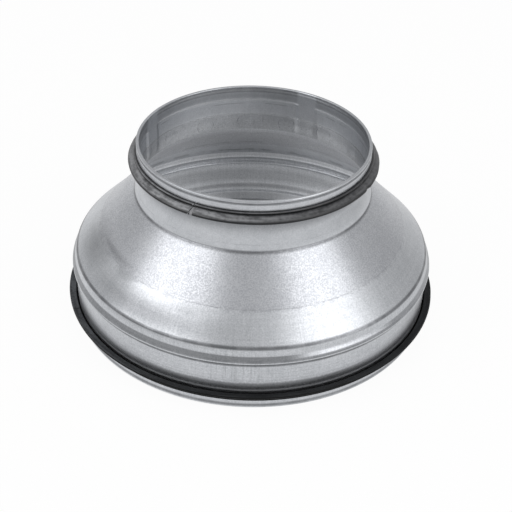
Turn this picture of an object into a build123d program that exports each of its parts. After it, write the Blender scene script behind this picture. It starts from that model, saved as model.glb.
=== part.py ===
from build123d import *
import math
import os

os.makedirs("parts", exist_ok=True)

# Driving dimensions in millimetres: a concentric 250 to 160 duct reducer, large end down.
# The axis is Z and the large rim stands on Z = 0. Radii are those of the outer face.
sheet = 0.7                # galvanised sheet
total_height = 127.9       # rim to rim

# Small spigot: a rolled collar over the upturned neck of the pressing.
neck_r = 78.8
collar_height = 35.6       # from its cut lower edge to its rim
lap_height = 13.9          # how far the upturned neck reaches up inside the collar
lap_gap = 0.05             # play between the two sheets
lap_flare = 1.4            # how much wider the lap is at its foot than at its top
foot_gap = 0.45            # open line between the collar's cut edge and the cone
lap_end = 0.3              # room over the cut edge of the upturned neck
joggle = 1.5               # height of the step that takes the collar out over the lap
seam_width = 13.0          # overlap of the strip's two ends
seam_angle = 59.0          # where that overlap is, from +X towards +Y

# Pressing, from the neck down.
crease_r = 106.6           # faint pressing crease part way down the cone
crease_sag = 0.8           # how far that crease lies below the straight line
cone_foot_r = 123.7        # where the cone ends
cone_foot_z = 47.1
band_r = 124.6             # foot of the short upright band under the cone
band_z = 42.6
flare_r = 126.4            # foot of the flare that widens the band to the stop
flare_z = 39.3
stop_r = 126.9             # edge that stops the duct, before the step in to the skirt
stop_z = 37.4
stop_round = 0.5
skirt_r = 124.7            # large spigot wall
skirt_z = 35.6             # where that wall starts

# The spigot ends share one folded edge and one gasket section, set out from the rim.
hem_length = 6.6           # folded edge
hem_slit = 0.4             # slit between the two layers of the fold
hem_line = 2.0             # fine line rolled into the fold, from the rim
hem_line_depth = 0.25
seat_length = 5.2          # groove that holds the gasket foot
seat_slope = 2.2           # length of the slope out of the groove
seat_depth = 0.7
foot_play = 0.05           # play at each end of the gasket foot
foot_height = 0.5
rear_lip_reach = 6.9       # sealing lip, off the floor of the groove
rear_lip_lean = 2.0        # how far its tip leans back over its root
rear_lip_root = 2.8
rear_lip_tip = 2.0
front_lip_reach = 3.0      # guide lip, off the floor of the groove
front_lip_root = 1.5
front_lip_tip = 0.9
front_lip_set = 0.1        # how far the guide lip's root is from the end of the foot
lip_round = 0.4


def ring(outline):
    """Turn a closed outline of (radius, height) points into a solid round the axis."""
    return revolve(Plane.XZ * make_face(outline), Axis.Z)


def sheet_ring(face_points, edge=None):
    """Bend a sheet along its outer face and turn it round the axis.

    The thickness lies on the side of the air, which is the side that makes the ring no wider.

    Args:
        face_points: (radius, height) points of the outer face, ending at the fold's cut edge.
        edge: corner of the path that is rolled round, if there is one.

    Returns:
        The ring of bent sheet.
    """
    path = Polyline(*face_points)
    if edge:
        corner = path.vertices().sort_by_distance((*edge, 0))[0]
        path = fillet(corner, stop_round)
    sections = [offset(path, sheet, side=side, kind=Kind.ARC) for side in (Side.LEFT, Side.RIGHT)]
    return ring(min(sections, key=lambda section: section.bounding_box().max.X))


def rim_points(wall, rim, inward):
    """Outer face of a spigot end, from its plain wall into the fold at the rim.

    Args:
        wall: radius of the plain wall.
        rim: height of the rim.
        inward: direction from the rim towards the part, 1 or -1.

    Returns:
        The (radius, height) points.
    """
    seat = wall - seat_depth
    seat_end = rim + inward * (hem_length + seat_length)
    fold = rim + inward * sheet
    return [
        (wall, seat_end + inward * seat_slope),
        (seat, seat_end),
        (seat, fold),
        (seat + hem_slit, fold),
        (seat + hem_slit, rim + inward * hem_length),
    ]


def rolled_line(wall, rim, inward):
    """Ring to cut for the fine line round a folded edge."""
    outer = wall - seat_depth + hem_slit + sheet
    middle = rim + inward * hem_line
    bottom = outer - hem_line_depth
    return ring(Polyline(
        (bottom, middle),
        (outer + hem_line_depth, middle - 2 * hem_line_depth),
        (outer + hem_line_depth, middle + 2 * hem_line_depth),
        close=True,
    ))


def gasket(wall, rim, inward):
    """Double-lip sealing ring in the groove of a spigot end, set out as rim_points is."""
    seat = wall - seat_depth
    top = seat + foot_height
    front = hem_length + foot_play
    rear = hem_length + seat_length - foot_play
    front_lip = front + front_lip_set
    front_middle = front_lip + front_lip_root / 2
    rear_middle = rear - rear_lip_root / 2 + rear_lip_lean
    section = [
        (seat, front),
        (top, front),
        (top, front_lip),
        (seat + front_lip_reach, front_middle - front_lip_tip / 2),
        (seat + front_lip_reach, front_middle + front_lip_tip / 2),
        (top, front_lip + front_lip_root),
        (top, rear - rear_lip_root),
        (seat + rear_lip_reach, rear_middle - rear_lip_tip / 2),
        (seat + rear_lip_reach, rear_middle + rear_lip_tip / 2),
        (top, rear),
        (seat, rear),
    ]
    outline = Polyline(*[(radius, rim + inward * reach) for radius, reach in section], close=True)
    tips = outline.vertices().filter_by(lambda corner: corner.X > top)
    return ring(fillet(tips, lip_round))


collar_foot = total_height - collar_height
lap_top = collar_foot + lap_height
neck_inner = neck_r - sheet

# Collar: lap, joggle, plain wall, gasket groove and folded rim, with its two ends lapped.
lap_r = neck_r + sheet + lap_gap
neck_collar = sheet_ring(
    [
        (lap_r + lap_flare, collar_foot),
        (lap_r, lap_top),
        (neck_r, lap_top + joggle),
    ] + rim_points(neck_r, total_height, -1)
)
seam_top = total_height - hem_length - seat_length - seat_slope
seam_arc = math.degrees(seam_width / neck_inner)
seam = revolve(
    Plane.XZ * make_face(Polyline(
        (neck_inner - seat_depth, lap_top + joggle),
        (neck_inner + sheet / 2, lap_top + joggle),
        (neck_inner + sheet / 2, seam_top),
        (neck_inner - seat_depth, seam_top),
        close=True,
    )),
    Axis.Z,
    seam_arc,
)
neck_collar = neck_collar + seam.rotate(Axis.Z, seam_angle - seam_arc / 2)
neck_collar = neck_collar - rolled_line(neck_r, total_height, -1)

# Pressing: upturned neck, cone, band, flare, stop, skirt and folded rim.
cone_top_r = neck_r + lap_flare
cone_top_z = collar_foot - foot_gap
flange_top_r = neck_r + lap_flare * lap_end / lap_height
crease_share = (crease_r - cone_top_r) / (cone_foot_r - cone_top_r)
crease_z = cone_top_z + (cone_foot_z - cone_top_z) * crease_share - crease_sag
pressed_cone = sheet_ring(
    [
        (flange_top_r, lap_top - lap_end),
        (cone_top_r, cone_top_z),
        (crease_r, crease_z),
        (cone_foot_r, cone_foot_z),
        (band_r, band_z),
        (flare_r, flare_z),
        (stop_r, stop_z),
        (skirt_r, skirt_z),
    ] + rim_points(skirt_r, 0, 1),
    edge=(stop_r, stop_z),
)
pressed_cone = pressed_cone - rolled_line(skirt_r, 0, 1)

nodes = {
    "pressed_cone": pressed_cone,
    "neck_collar": neck_collar,
    "neck_gasket": gasket(neck_r, total_height, -1),
    "skirt_gasket": gasket(skirt_r, 0, 1),
}
for name, part in nodes.items():
    solid = part.solid()
    solid.label = name
    export_step(solid, f"parts/{name}.step")
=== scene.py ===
"""Looks of a concentric duct reducer: pressed galvanised sheet and two black rubber gaskets.

Sizes are in millimetres, meshes in metres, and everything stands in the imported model's frame:
the axis is Z, the large rim stands on Z = 0, and the front of the photograph faces -Y.
An azimuth is in degrees round the axis, 0 at the front and 90 at +X.
"""

import logging
import math
from dataclasses import dataclass
from enum import Enum
from functools import cached_property

import bmesh
import bpy
from bmesh.types import BMesh
from bpy.types import Material, NodeOutputs, NodeSocket, NodeTree, Object
from mathutils import Matrix, Vector, noise


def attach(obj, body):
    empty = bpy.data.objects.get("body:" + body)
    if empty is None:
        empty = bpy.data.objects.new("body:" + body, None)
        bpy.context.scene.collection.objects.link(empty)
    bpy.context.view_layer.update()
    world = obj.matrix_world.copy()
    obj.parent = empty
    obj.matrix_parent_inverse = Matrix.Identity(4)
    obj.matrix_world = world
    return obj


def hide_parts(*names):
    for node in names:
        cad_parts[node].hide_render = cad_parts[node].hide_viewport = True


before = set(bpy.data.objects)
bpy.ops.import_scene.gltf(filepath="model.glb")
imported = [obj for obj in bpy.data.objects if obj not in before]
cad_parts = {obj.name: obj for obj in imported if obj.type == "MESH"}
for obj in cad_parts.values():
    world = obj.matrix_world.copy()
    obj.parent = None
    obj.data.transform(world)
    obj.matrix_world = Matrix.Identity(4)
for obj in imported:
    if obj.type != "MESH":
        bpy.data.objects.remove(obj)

LOG = logging.getLogger("duct_reducer")
MM = 0.001
BODY = "root"
MERGE_DISTANCE = 1e-7      # metres between points that are one
CRISP_ANGLE = 40.0         # degrees between two faces, from which their edge stays sharp
LINE_RADIUS = 100.0        # where a pattern that runs round the axis has its true width
NOISE_RANGE = (0.3, 0.7)   # values that a noise hardly leaves
LAP = "lap"                # attribute with the share of a lap's thickness at a vertex
WHITE = "#FFFFFF"


class End(Enum):
    """The two open ends; the value is the direction along Z from the rim into the part."""

    NECK = -1
    SKIRT = 1


class Slot(Enum):
    """The record's material slots."""

    PRESSING = "pressing"
    COLLAR = "collar"
    SEAL = "seal"


class Side(Enum):
    """The two faces of a sheet."""

    OUTER = "outer"
    AIR = "air"


def linear(hex_colour: str) -> tuple[float, float, float, float]:
    """Turn an sRGB hex colour into linear RGBA.

    Args:
        hex_colour: six hex digits after a hash sign.

    Returns:
        Linear red, green, blue and an alpha of 1.
    """
    channels = [int(hex_colour[place:place + 2], 16) / 255 for place in (1, 3, 5)]
    values = [c / 12.92 if c <= 0.04045 else ((c + 0.055) / 1.055) ** 2.4 for c in channels]
    return (values[0], values[1], values[2], 1.0)


def per_mm(size: float) -> float:
    """Texture scale at which one feature of a pattern is this many millimetres wide."""
    return 1 / (size * MM)


class Graph:
    """The node tree of a material or the world, built node by node."""

    def __init__(self, tree: NodeTree) -> None:
        """Take a tree and empty it."""
        self.tree = tree
        tree.nodes.clear()

    def add(
        self,
        kind: str,
        inputs: dict[str | int, object],
        output: str | None = None,
        **settings: object,
    ) -> NodeSocket | None:
        """Add one node, set its options, and fill or link its inputs.

        Args:
            kind: the node's type, after ShaderNode.
            inputs: a socket to link or a value to set, by input name or number. On a MapRange
                0 is the value, 1 and 2 the range that it has, and 3 and 4 the one that it gets.
            output: name of the output that is wanted, the first in use unless given.
            **settings: the node's own options.

        Returns:
            That output, or nothing on a node that has none.
        """
        node = self.tree.nodes.new(f"ShaderNode{kind}")
        for option, value in settings.items():
            setattr(node, option, value)
        for key, value in inputs.items():
            if isinstance(value, NodeSocket):
                self.tree.links.new(value, node.inputs[key])
            else:
                node.inputs[key].default_value = value
        if output:
            return node.outputs[output]
        return next((socket for socket in node.outputs if socket.enabled), None)


class Surface(Graph):
    """The node tree of a material whose patterns are set out round the part's axis."""

    @cached_property
    def place(self) -> NodeSocket:
        """Object coordinates."""
        return self.add("TexCoord", {}, "Object")

    @cached_property
    def facing(self) -> NodeSocket:
        """Direction that the surface faces."""
        return self.add("TexCoord", {}, "Normal")

    @cached_property
    def flat(self) -> NodeSocket:
        """Object coordinates without their height."""
        return self.add("VectorMath", {0: self.place, 1: (1, 1, 0)}, operation="MULTIPLY")

    @cached_property
    def way(self) -> NodeSocket:
        """Direction away from the axis."""
        return self.add("VectorMath", {0: self.flat}, operation="NORMALIZE")

    @cached_property
    def parts(self) -> NodeOutputs:
        """Object coordinates one by one, as X, Y and Z."""
        return self.add("SeparateXYZ", {0: self.place}).node.outputs

    @cached_property
    def height(self) -> NodeSocket:
        """Height over the large rim in millimetres."""
        return self.add("Math", {0: self.parts["Z"], 1: 1 / MM}, operation="MULTIPLY")

    @cached_property
    def azimuth(self) -> NodeSocket:
        """Angle round the axis in radians, 0 at the front."""
        ahead = self.add("Math", {0: self.parts["Y"], 1: -1.0}, operation="MULTIPLY")
        return self.add("Math", {0: self.parts["X"], 1: ahead}, operation="ARCTAN2")

    @cached_property
    def outward(self) -> NodeSocket:
        """How far the surface faces away from the axis, from -1 to 1."""
        return self.add(
            "VectorMath", {0: self.facing, 1: self.way}, "Value", operation="DOT_PRODUCT"
        )

    @cached_property
    def airside(self) -> NodeSocket:
        """1 on what faces the axis, 0 elsewhere."""
        return self.add("Math", {0: self.outward, 1: 0.0}, operation="LESS_THAN")

    def lines(self, size: float, around: float, along: float) -> NodeSocket:
        """Fine lines that follow the turned surface.

        Args:
            size: width of a line in millimetres.
            around: scale of the pattern round the axis, below 1 where it is drawn out.
            along: the same along the axis.

        Returns:
            The lines' noise.
        """
        reach = LINE_RADIUS * MM * around
        rise = self.add("VectorMath", {0: self.place, 1: (0, 0, along)}, operation="MULTIPLY")
        path = self.add(
            "VectorMath", {0: self.way, 1: (reach, reach, reach), 2: rise}, operation="MULTIPLY_ADD"
        )
        return self.add("TexNoise", {"Vector": path, "Scale": per_mm(size), "Detail": 2.0})

    def fading(
        self, value: NodeSocket, middle: float, half: float, soft: float = 1.0
    ) -> NodeSocket:
        """A mark that is full at one value and has faded out to both sides of it.

        Args:
            value: height, azimuth or distance.
            middle: where the mark is full.
            half: where it has gone, to both sides.
            soft: share of that over which it fades.

        Returns:
            The mark, from 0 to 1.
        """
        off = self.add("Math", {0: value, 1: middle}, operation="SUBTRACT")
        gap = self.add("Math", {0: off}, operation="ABSOLUTE")
        return self.add(
            "MapRange",
            {0: gap, 1: half * (1 - soft), 2: half, 3: 1.0, 4: 0.0},
            interpolation_type="SMOOTHSTEP",
        )

    def between(
        self, value: NodeSocket, low: tuple[float, float], high: tuple[float, float]
    ) -> NodeSocket:
        """A mark that is full between two values.

        Args:
            value: height.
            low: where it begins, and how far it fades to both sides of that.
            high: the same where it ends.

        Returns:
            The mark, from 0 to 1.
        """
        risen, left = (
            self.add(
                "MapRange",
                {0: value, 1: edge - fade, 2: edge + fade, 3: before, 4: 1.0 - before},
                interpolation_type="SMOOTHSTEP",
            )
            for (edge, fade), before in ((low, 0.0), (high, 1.0))
        )
        return self.add("Math", {0: risen, 1: left}, operation="MULTIPLY")


def new_material(name: str) -> tuple[Material, Surface]:
    """Start a material.

    Args:
        name: the material's name.

    Returns:
        The material and its empty graph.
    """
    material = bpy.data.materials.new(name)
    material.use_nodes = True
    return material, Surface(material.node_tree)


def azimuth_of(point: Vector) -> float:
    """Azimuth of a point in degrees."""
    return math.degrees(math.atan2(point.x, -point.y))


def turn_between(azimuth: float, other: float) -> float:
    """Signed angle in degrees from the other azimuth to this one, the short way round."""
    return (azimuth - other + 180) % 360 - 180


def radius_of(point: Vector) -> float:
    """Distance of a point from the axis in millimetres."""
    return math.hypot(point.x, point.y) / MM


def ease(value: float) -> float:
    """Smooth step from 0 to 1 for a value from 0 to 1, held beyond that."""
    held = min(max(value, 0.0), 1.0)
    return held * held * (3 - 2 * held)


def push(point: Vector, outward: float, lift: float = 0.0) -> None:
    """Move a point.

    Args:
        point: the point, which is changed.
        outward: how far it moves away from the axis in millimetres.
        lift: how far it moves up.
    """
    radius = radius_of(point)
    scale = (radius + outward) / radius
    point.x *= scale
    point.y *= scale
    point.z += lift * MM


@dataclass(frozen=True)
class Corner:
    """One corner of a section, in millimetres.

    Attributes:
        radius: distance from the axis.
        height: height over the large rim.
        bend: length that the rounding takes off each side of the corner.
        segments: faces across the rounding.
    """

    radius: float
    height: float
    bend: float = 0.0
    segments: int = 4


class Section:
    """A wire section in the XZ plane that is rounded, divided and turned round the axis."""

    def __init__(self, corners: list[Corner], closed: bool = False) -> None:
        """Draw the section and round its corners.

        Args:
            corners: the corners in order.
            closed: whether the last corner joins the first.
        """
        self.mesh = bmesh.new()
        points = [self.mesh.verts.new((c.radius * MM, 0.0, c.height * MM)) for c in corners]
        for pair in zip(points, points[1:]):
            self.mesh.edges.new(pair)
        if closed:
            self.mesh.edges.new((points[-1], points[0]))
        for point, corner in zip(points, corners):
            if corner.bend > 0:
                bmesh.ops.bevel(
                    self.mesh,
                    geom=[point],
                    offset=corner.bend * MM,
                    offset_type="OFFSET",
                    affect="VERTICES",
                    segments=corner.segments,
                    profile=0.5,
                    material=-1,
                )
        bmesh.ops.remove_doubles(self.mesh, verts=self.mesh.verts[:], dist=MERGE_DISTANCE)

    def divide(self, longest: float) -> "Section":
        """Split the straight runs into short steps.

        Args:
            longest: length of a step in millimetres at most.

        Returns:
            The same section.
        """
        for edge in self.mesh.edges[:]:
            cuts = math.ceil(edge.calc_length() / (longest * MM)) - 1
            if cuts > 0:
                bmesh.ops.subdivide_edges(self.mesh, edges=[edge], cuts=cuts)
        return self

    def turn(self, steps: int, sweep: float = math.tau) -> BMesh:
        """Turn the section round the axis.

        Args:
            steps: faces round the axis.
            sweep: angle in radians, a full turn unless the ring is cut.

        Returns:
            The turned surface, with its normals made consistent.
        """
        bmesh.ops.spin(
            self.mesh,
            geom=self.mesh.verts[:] + self.mesh.edges[:],
            cent=(0, 0, 0),
            axis=(0, 0, 1),
            angle=sweep,
            steps=steps,
            use_merge=math.isclose(sweep, math.tau),
        )
        bmesh.ops.remove_doubles(self.mesh, verts=self.mesh.verts[:], dist=MERGE_DISTANCE)
        bmesh.ops.recalc_face_normals(self.mesh, faces=self.mesh.faces[:])
        return self.mesh


def give_thickness(mesh: BMesh, sheet: float) -> None:
    """Turn a sheet's outer face into a wall, with the thickness on the side of the air.

    Args:
        mesh: the turned outer face.
        sheet: thickness in millimetres.
    """
    widest = max(mesh.faces, key=lambda face: face.calc_center_median().xy.length)
    if widest.normal.xy.dot(widest.calc_center_median().xy) < 0:
        bmesh.ops.reverse_faces(mesh, faces=mesh.faces[:])
    bmesh.ops.solidify(mesh, geom=mesh.faces[:], thickness=sheet * MM)


def finish_piece(name: str, mesh: BMesh, material: Material, node: str) -> Object:
    """Make a finished object of a mesh, and let it stand for its CAD node.

    Args:
        name: the piece's name.
        mesh: its mesh, which is freed.
        material: its finish.
        node: the CAD node that it replaces.

    Returns:
        The object, riding on the part's only body.
    """
    for face in mesh.faces:
        face.smooth = True
    for edge in mesh.edges:
        edge.smooth = edge.calc_face_angle(0.0) < math.radians(CRISP_ANGLE)
    data = bpy.data.meshes.new(name)
    mesh.to_mesh(data)
    mesh.free()
    data.materials.append(material)
    piece = bpy.data.objects.new(name, data)
    bpy.context.scene.collection.objects.link(piece)
    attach(piece, BODY)
    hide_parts(node)
    return piece


@dataclass(frozen=True)
class ShadeAndToolRing:
    """A dark ring round one face of a sheet: mostly painted shade at a bend, crease, groove or edge,
    and in a few places a fine tool line.

    Attributes:
        height: middle of the ring in millimetres.
        half_width: where it has faded out, above and below that.
        share: how dark it is in the middle, from 0 to 1.
        broken: how much lighter it is in the gaps between its dashes, from 0 to 1.
        soft: share of the half width over which it fades.
        side: the face that it is on.
    """

    height: float
    half_width: float
    share: float
    broken: float = 0.15
    soft: float = 1.0
    side: Side = Side.OUTER


@dataclass(frozen=True)
class ShadeAndSmear:
    """A soft dark patch on the zinc: mostly painted shade where less light falls, and in one place dark
    streaks.

    Attributes:
        azimuth: its middle round the axis.
        spread: where it has faded out, to both sides, in degrees.
        height: its middle in millimetres.
        half_height: where it has faded out, above and below that.
        share: how dark it is in the middle.
        soft: share of its height over which it fades.
        soft_round: share of its spread over which it fades.
        streaked: whether it shows only along the drawing lines.
        side: the face that it is on.
    """

    azimuth: float
    spread: float
    height: float
    half_height: float
    share: float
    soft: float = 1.0
    soft_round: float = 1.0
    streaked: bool = False
    side: Side = Side.OUTER


@dataclass(frozen=True)
class GasketShade:
    """Painted shade on the outer face beside a gasket: the gasket's shadow on the wall and its dark
    reflection in it.

    Attributes:
        low: height where it is half as dark as in its middle.
        low_fade: how far it fades to both sides of that.
        high: the same at its upper end.
        high_fade: the same at its upper end.
        share: how dark it is in its middle.
        fray: how far its edges stray.
        spread: where it has gone to both sides of the front, in degrees, or all the way round.
        soft_round: share of its spread over which it fades.
    """

    low: float
    low_fade: float
    high: float
    high_fade: float
    share: float
    fray: float
    spread: float = 360.0
    soft_round: float = 0.5


@dataclass(frozen=True)
class PaleReflection:
    """A pale line painted on the wall over a gasket: a painted reflection of the gasket's dusty edge.

    Attributes:
        low: height where it begins, in millimetres.
        high: height where it ends.
        low_fade: how far it fades to both sides of where it begins.
        high_fade: the same where it ends.
        share: how much of the zinc it hides.
        tone: its colour.
    """

    low: float
    high: float
    low_fade: float = 0.4
    high_fade: float = 0.5
    share: float = 0.5
    tone: str = "#5C5E61"


@dataclass(frozen=True)
class Belt:
    """A belt round the part that the press worked harder.

    Attributes:
        tone: colour of the clean zinc there.
        dull: colour of the flecks there.
        low: height where it begins, in millimetres.
        high: height where it ends.
        fade: how softly it begins and ends.
        waver: how far its edges stray up and down.
    """

    tone: str
    dull: str
    low: float
    high: float
    fade: float = 1.0
    waver: float = 1.2


@dataclass(frozen=True)
class SpotWelds:
    """A ring of spot welds, as seen from the air side.

    Attributes:
        height: height of the ring in millimetres.
        radius: radius of the sheet there.
        first: azimuth of one weld.
        count: welds round the ring.
        ring: radius of the mark that an electrode leaves.
        ring_width: half the width of that mark.
        arc_range: shares of its radius, to both sides of a weld, where it begins and is full.
        share: how dark the mark is at most.
        least: how dark it is where it is worn.
        patch_size: width of the worn patches in millimetres.
        patch_range: noise at which they begin and end.
        scuff_drop: how far the scuffs between the welds lie below them.
        scuff_reach: where the scuffs have gone, above and below that, as a share of the radius.
        scuff_soft: share of that over which they fade.
        scuff_size: width of a scuff in millimetres.
        scuff_range: noise at which scuffs begin and are full.
        scuff_share: how dark a scuff is.
    """

    height: float = 98.2
    radius: float = 78.4
    first: float = 5.0
    count: int = 16
    ring: float = 6.3
    ring_width: float = 0.7
    arc_range: tuple[float, float] = (0.55, 0.85)
    share: float = 0.65
    least: float = 0.3
    patch_size: float = 4.0
    patch_range: tuple[float, float] = (0.35, 0.6)
    scuff_drop: float = 1.5
    scuff_reach: float = 0.6
    scuff_soft: float = 0.5
    scuff_size: float = 1.1
    scuff_range: tuple[float, float] = (0.56, 0.68)
    scuff_share: float = 0.455

    def marks(self, skin: Surface) -> NodeSocket:
        """Burnt arcs to both sides of each spot weld, and scuffs between the welds.

        Args:
            skin: the sheet's graph.

        Returns:
            How dark the mark is, from 0 to 1.
        """
        half = math.pi / self.count
        shifted = skin.add(
            "Math", {0: skin.azimuth, 1: math.radians(self.first)}, operation="SUBTRACT"
        )
        near = skin.add("Math", {0: shifted, 1: half, 2: -half}, operation="WRAP")
        arc = skin.add("Math", {0: near, 1: self.radius}, operation="MULTIPLY")
        rise = skin.add("Math", {0: skin.height, 1: self.height}, operation="SUBTRACT")
        spot = skin.add("CombineXYZ", {0: arc, 1: rise})
        reach = skin.add("VectorMath", {0: spot}, "Value", operation="LENGTH")
        ring = skin.fading(reach, self.ring, self.ring_width)
        beside = skin.add("Math", {0: arc}, operation="ABSOLUTE")
        begin, full = (self.ring * share for share in self.arc_range)
        sides = skin.add("MapRange", {0: beside, 1: begin, 2: full})
        arcs = skin.add("Math", {0: ring, 1: sides}, operation="MULTIPLY")
        patchy = skin.add("TexNoise", {"Vector": skin.place, "Scale": per_mm(self.patch_size)})
        low, high = self.patch_range
        worn = skin.add("MapRange", {0: patchy, 1: low, 2: high, 3: self.least, 4: self.share})
        burnt = skin.add("Math", {0: arcs, 1: worn}, operation="MULTIPLY")
        path = skin.fading(
            skin.height,
            self.height - self.scuff_drop,
            self.ring * self.scuff_reach,
            self.scuff_soft,
        )
        crumbs = skin.add(
            "TexNoise", {"Vector": skin.place, "Scale": per_mm(self.scuff_size), "Detail": 1.0}
        )
        low, high = self.scuff_range
        scuffs = skin.add("MapRange", {0: crumbs, 1: low, 2: high, 3: 0.0, 4: self.scuff_share})
        scuffed = skin.add("Math", {0: path, 1: scuffs}, operation="MULTIPLY")
        return skin.add("Math", {0: burnt, 1: scuffed}, operation="MAXIMUM")


@dataclass(frozen=True)
class GalvanisedSheet:
    """Hot-dip galvanised steel sheet, pressed or rolled: a satin grey zinc skin.

    The zinc gives a neutral, faintly blue metal without a bold spangle. Where the press worked
    it hardest it is duller and has an orange-peel grain that breaks up the edges of highlights.
    Elsewhere it is paler, with fine drawing lines that run up and round the part. Rings and
    patches of painted shade darken its bends and some of its faces, with a few fine tool lines
    and streaks. Painted shade lies beside the gaskets, and a pale painted reflection lies beside
    the large one.

    Attributes:
        name: material name.
        tone: colour of the clean zinc.
        dull: colour of the duller zinc between its lighter flecks.
        grain_depth: depth of the grain in millimetres where it is full.
        tracing: how much the drawing lines show outside the worked belt.
        gasket_shade: the painted shade beside the gasket, for its shadow and its dark reflection.
        rings: rings of painted shade at the bends, and a few fine tool lines.
        shades_and_smears: patches of painted shade, and dark streaks.
        belt: where the press worked it, if it did.
        welds: spot welds, where the piece shows them.
        pale_reflection: a pale painted reflection of the gasket on the wall over it, where there is
            one.
        shade_and_soot: colour of the painted shade, the tool lines, the streaks and the weld marks.
        roughness: middle of the roughness.
        sheen: how far the roughness strays to both sides of that.
        sheen_range: wear at which the skin is smoothest and roughest.
        airside_matt: how much rougher the side of the air is.
        calm: share of the grain that is left outside the worked belt.
        belt_tracing: how much the drawing lines show in that belt.
        speck_share: share of the grain in the wear, beside clouds and lines.
        fleck_range: wear at which the dull flecks begin and are full.
        grain_size: width of a grain in millimetres, drawn a little coarse so that it shows.
        mottle_size: width of a small cloud.
        stain_size: width of a large cloud.
        dash_size: length of the dashes of a broken ring.
        dash_range: noise at which those dashes begin and are full.
        line_size: width of a drawing line.
        line_stretch: scale of the pattern along the lines, as a share of that across them.
        line_depth: depth of the lines in millimetres where they show in full.
        streak_range: noise at which a line takes on a streaked smear, and holds it in full.
    """

    name: str
    tone: str
    dull: str
    grain_depth: float
    tracing: float
    gasket_shade: GasketShade
    rings: tuple[ShadeAndToolRing, ...]
    shades_and_smears: tuple[ShadeAndSmear, ...]
    belt: Belt | None = None
    welds: SpotWelds | None = None
    pale_reflection: PaleReflection | None = None
    shade_and_soot: str = "#3C3D40"
    roughness: float = 0.34
    sheen: float = 0.05
    sheen_range: tuple[float, float] = (0.38, 0.62)
    airside_matt: float = 0.04
    calm: float = 0.4
    belt_tracing: float = 0.2
    speck_share: float = 0.7
    fleck_range: tuple[float, float] = (0.4, 0.6)
    grain_size: float = 0.9
    mottle_size: float = 5.0
    stain_size: float = 34.0
    dash_size: float = 12.0
    dash_range: tuple[float, float] = (0.44, 0.54)
    line_size: float = 1.0
    line_stretch: float = 0.03
    line_depth: float = 0.014
    streak_range: tuple[float, float] = (0.54, 0.7)

    def make(self) -> Material:
        """Build the material.

        Returns:
            The finished material.
        """
        material, skin = new_material(self.name)
        grain, mottle, stain = (
            skin.add("TexNoise", {"Vector": skin.place, "Scale": per_mm(size), "Detail": detail})
            for size, detail in (
                (self.grain_size, 2.0),
                (self.mottle_size, 5.0),
                (self.stain_size, 3.0),
            )
        )
        upright = skin.lines(self.line_size, 1.0, self.line_stretch)
        level = skin.lines(self.line_size, self.line_stretch, 1.0)
        lines = skin.add("Mix", {"Factor": 0.5, "A": upright, "B": level})
        clouds = skin.add("Mix", {"Factor": 0.5, "A": mottle, "B": stain})
        worked = self._worked(skin, mottle)
        shown = skin.add("MapRange", {0: worked, 3: self.calm, 4: 1.0})
        speck = skin.add("Mix", {"Factor": shown, "A": 0.5, "B": grain})
        traced = skin.add("MapRange", {0: worked, 3: self.tracing, 4: self.belt_tracing})
        drift = skin.add("Mix", {"Factor": traced, "A": clouds, "B": lines})
        wear = skin.add("Mix", {"Factor": self.speck_share, "A": drift, "B": speck})
        faces = self._faces(skin)
        shade = self._shade(skin, wear, worked, self._shade_and_marks(skin, faces, upright))
        smoothest, roughest = self.sheen_range
        spread = skin.add(
            "MapRange",
            {
                0: wear,
                1: smoothest,
                2: roughest,
                3: self.roughness - self.sheen,
                4: self.roughness + self.sheen,
            },
        )
        rough = skin.add(
            "Math", {0: skin.airside, 1: self.airside_matt, 2: spread}, operation="MULTIPLY_ADD"
        )
        grainy = skin.add(
            "Bump", {"Strength": 1.0, "Distance": self.grain_depth * MM, "Height": speck}
        )
        line_depth = self.line_depth * self.tracing * MM
        drawn = skin.add(
            "Bump", {"Strength": 1.0, "Distance": line_depth, "Height": lines, "Normal": grainy}
        )
        looks = {"Base Color": shade, "Metallic": 1.0, "Roughness": rough, "Normal": drawn}
        if self.pale_reflection:
            looks.update(self._paint_pale_reflection(skin, faces[Side.OUTER], shade))
        shader = skin.add("BsdfPrincipled", looks)
        skin.add("OutputMaterial", {"Surface": shader})
        return material

    def _worked(self, skin: Surface, mottle: NodeSocket) -> NodeSocket | float:
        """How hard the press worked a place.

        Args:
            skin: the material's graph.
            mottle: noise that makes the belt's edges stray.

        Returns:
            A share from 0 to 1, plain 0 on a sheet without such a belt.
        """
        if not self.belt:
            return 0.0
        belt = self.belt
        least, most = NOISE_RANGE
        stray = skin.add(
            "MapRange", {0: mottle, 1: least, 2: most, 3: -belt.waver, 4: belt.waver}
        )
        moved = skin.add("Math", {0: skin.height, 1: stray}, operation="ADD")
        return skin.between(moved, (belt.low, belt.fade), (belt.high, belt.fade))

    def _faces(self, skin: Surface) -> dict[Side, NodeSocket]:
        """Find the two faces of the sheet.

        Args:
            skin: the material's graph.

        Returns:
            A mark that is 1 on each face; on the side of the air the laps have none.
        """
        lapped = skin.add("Attribute", {}, "Fac", attribute_name=LAP)
        bare = skin.add("Math", {0: 1.0, 1: lapped}, operation="SUBTRACT")
        return {
            Side.OUTER: skin.add("Math", {0: skin.outward, 1: 0.0}, operation="GREATER_THAN"),
            Side.AIR: skin.add("Math", {0: skin.airside, 1: bare}, operation="MULTIPLY"),
        }

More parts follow.
